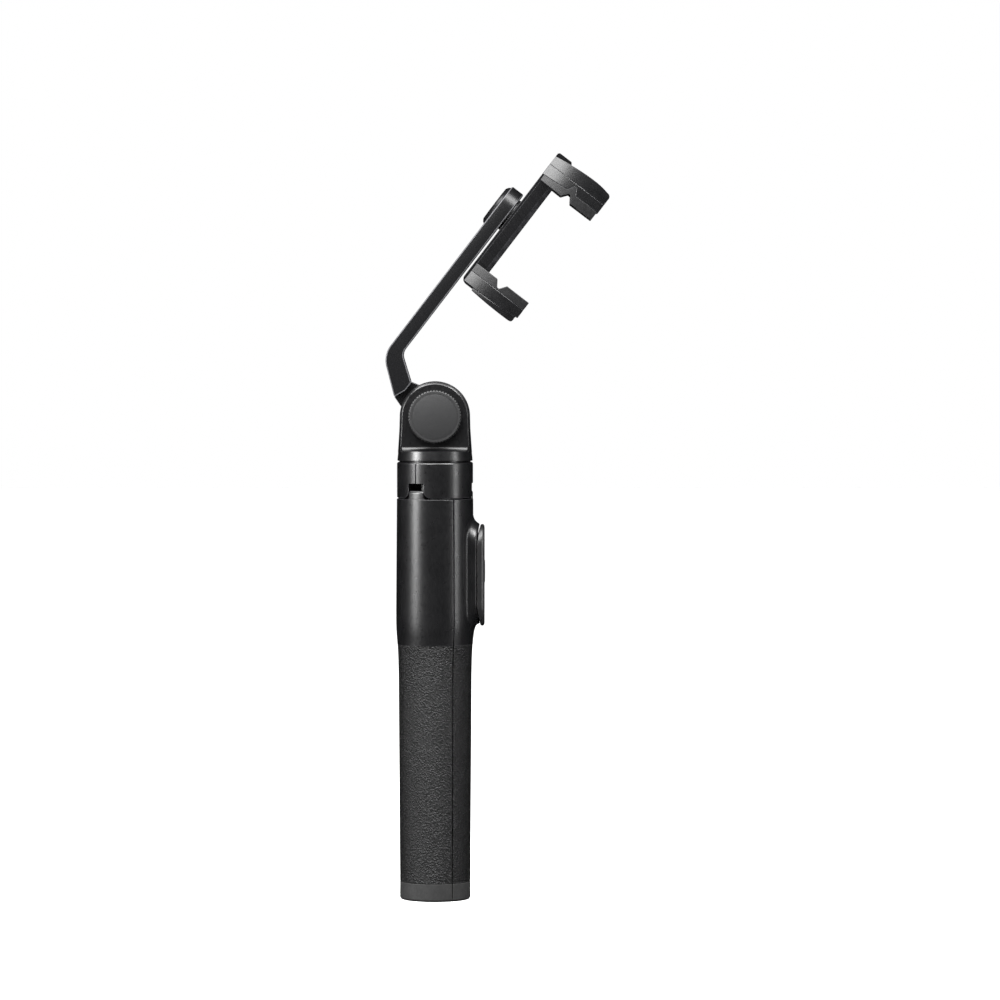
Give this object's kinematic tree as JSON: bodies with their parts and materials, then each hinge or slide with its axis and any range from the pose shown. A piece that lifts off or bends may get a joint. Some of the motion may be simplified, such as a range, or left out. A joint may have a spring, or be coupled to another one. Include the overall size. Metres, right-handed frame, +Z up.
{
  "type": "selfie stick",
  "caption": "Folded tripod selfie stick: telescopic pole inside a handle that splits into legs, tilting bent arm, swivelling sprung phone clamp and a slide-off remote.",
  "frame": {"origin": "on the floor, where the handle's axis meets the plane of the closed feet", "axes": "+Z up along the handle, +X towards the side that the arm leans to and that carries the remote, -Y towards the tilt knob"},
  "size_m": [0.1121, 0.039, 0.3727],
  "materials": {
    "case_black": "moulded ABS, semi-gloss black",
    "grip_skin": "fine pebbled soft-touch skin, charcoal black",
    "foot_rubber": "matte black rubber",
    "pad_rubber": "matte black silicone rubber",
    "pole_aluminium": "black anodised drawn tube",
    "bush_plastic": "black acetal",
    "arm_black": "satin black anodised bar with bright-cut edges",
    "jaw_black": "satin black glass-filled nylon",
    "plate_black": "satin black anodised aluminium",
    "steel": "bright steel",
    "brass": "turned brass",
    "knob_black": "fine spark-eroded black ABS",
    "remote_black": "satin black ABS",
    "button_black": "soft-touch silicone key",
    "board_green": "glass-epoxy circuit board",
    "cell_steel": "nickel-plated steel coin cell",
    "light_window": "clear moulded light window"
  },
  "bodies": {
    "root": {"collar": "case_black", "leg_hinge_pins": "steel", "tube_1": "pole_aluminium", "bush_1": "bush_plastic", "end_plug": "bush_plastic"},
    "leg_right": {"leg_right": "case_black", "grip_right": "grip_skin", "foot_right": "foot_rubber", "remote_cradle": "case_black"},
    "leg_back_left": {"leg_back_left": "case_black", "grip_back_left": "grip_skin", "foot_back_left": "foot_rubber"},
    "leg_front_left": {"leg_front_left": "case_black", "grip_front_left": "grip_skin", "foot_front_left": "foot_rubber"},
    "remote": {"remote_base": "remote_black", "remote_lid": "remote_black", "remote_board": "board_green", "remote_cell": "cell_steel", "remote_light": "light_window"},
    "remote_button": {"remote_button": "button_black"},
    "section_2": {"tube_2": "pole_aluminium", "guide_2": "bush_plastic", "bush_2": "bush_plastic"},
    "section_3": {"tube_3": "pole_aluminium", "guide_3": "bush_plastic", "bush_3": "bush_plastic"},
    "section_4": {"tube_4": "pole_aluminium", "guide_4": "bush_plastic", "bush_4": "bush_plastic"},
    "section_5": {"tube_5": "pole_aluminium", "guide_5": "bush_plastic", "bush_5": "bush_plastic"},
    "head": {"tube_6": "pole_aluminium", "guide_6": "bush_plastic", "fork": "case_black", "fork_stem": "steel", "tilt_axle": "steel", "tilt_washers": "bush_plastic"},
    "tilt_knob": {"tilt_knob": "knob_black", "knob_insert": "brass", "knob_cap": "knob_black"},
    "arm": {"arm": "arm_black", "swivel_cap": "arm_black", "swivel_screw": "steel"},
    "clamp": {"rail": "plate_black", "rail_back_plate": "plate_black", "swivel_hub": "bush_plastic", "swivel_nut": "steel", "jaw_springs": "steel", "fixed_jaw": "jaw_black", "fixed_jaw_cover": "jaw_black", "fixed_jaw_pad": "pad_rubber"},
    "moving_jaw": {"slide_bar": "plate_black", "moving_jaw": "jaw_black", "moving_jaw_cover": "jaw_black", "moving_jaw_pad": "pad_rubber"}
  },
  "joints": [
    {"name": "leg_right_hinge", "type": "hinge", "parent": "root", "child": "leg_right", "pos_m": [0.015, 0, 0.2034], "axis": [0, -1, 0], "range_deg": [0, 45]},
    {"name": "leg_back_left_hinge", "type": "hinge", "parent": "root", "child": "leg_back_left", "pos_m": [-0.0075, 0.01299, 0.2034], "axis": [0.866, 0.5, 0], "range_deg": [0, 45]},
    {"name": "leg_front_left_hinge", "type": "hinge", "parent": "root", "child": "leg_front_left", "pos_m": [-0.0075, -0.01299, 0.2034], "axis": [-0.866, 0.5, 0], "range_deg": [0, 45]},
    {"name": "pole_slide_1", "type": "slide", "parent": "root", "child": "section_2", "axis": [0, 0, 1], "range_m": [0, 0.165]},
    {"name": "pole_slide_2", "type": "slide", "parent": "section_2", "child": "section_3", "axis": [0, 0, 1], "range_m": [0, 0.165]},
    {"name": "pole_slide_3", "type": "slide", "parent": "section_3", "child": "section_4", "axis": [0, 0, 1], "range_m": [0, 0.165]},
    {"name": "pole_slide_4", "type": "slide", "parent": "section_4", "child": "section_5", "axis": [0, 0, 1], "range_m": [0, 0.165]},
    {"name": "pole_slide_5", "type": "slide", "parent": "section_5", "child": "head", "axis": [0, 0, 1], "range_m": [0, 0.165]},
    {"name": "tilt_knob_turn", "type": "hinge", "parent": "head", "child": "tilt_knob", "pos_m": [0, 0, 0.24185], "axis": [0, -1, 0], "range_deg": [0, 180]},
    {"name": "arm_tilt", "type": "hinge", "parent": "head", "child": "arm", "pos_m": [0, 0, 0.24185], "axis": [0, 1, 0], "range_deg": [-56, 98]},
    {"name": "clamp_swivel", "type": "hinge", "parent": "arm", "child": "clamp", "pos_m": [0.03735, 0, 0.34227], "axis": [-0.7934, 0, 0.6088], "continuous": true},
    {"name": "jaw_slide", "type": "slide", "parent": "clamp", "child": "moving_jaw", "axis": [0.6088, 0, 0.7934], "range_m": [0, 0.032], "stiffness_N_per_m": 220, "springref_m": -0.03, "deforming": ["jaw_springs"]},
    {"name": "remote_slide", "type": "slide", "parent": "leg_right", "child": "remote", "axis": [1, 0, 0], "range_m": [0, 0.012]},
    {"name": "remote_press", "type": "slide", "parent": "remote", "child": "remote_button", "axis": [-1, 0, 0], "range_m": [0, 0.0006], "stiffness_N_per_m": 900, "springref_m": -0.0008}
  ]
}
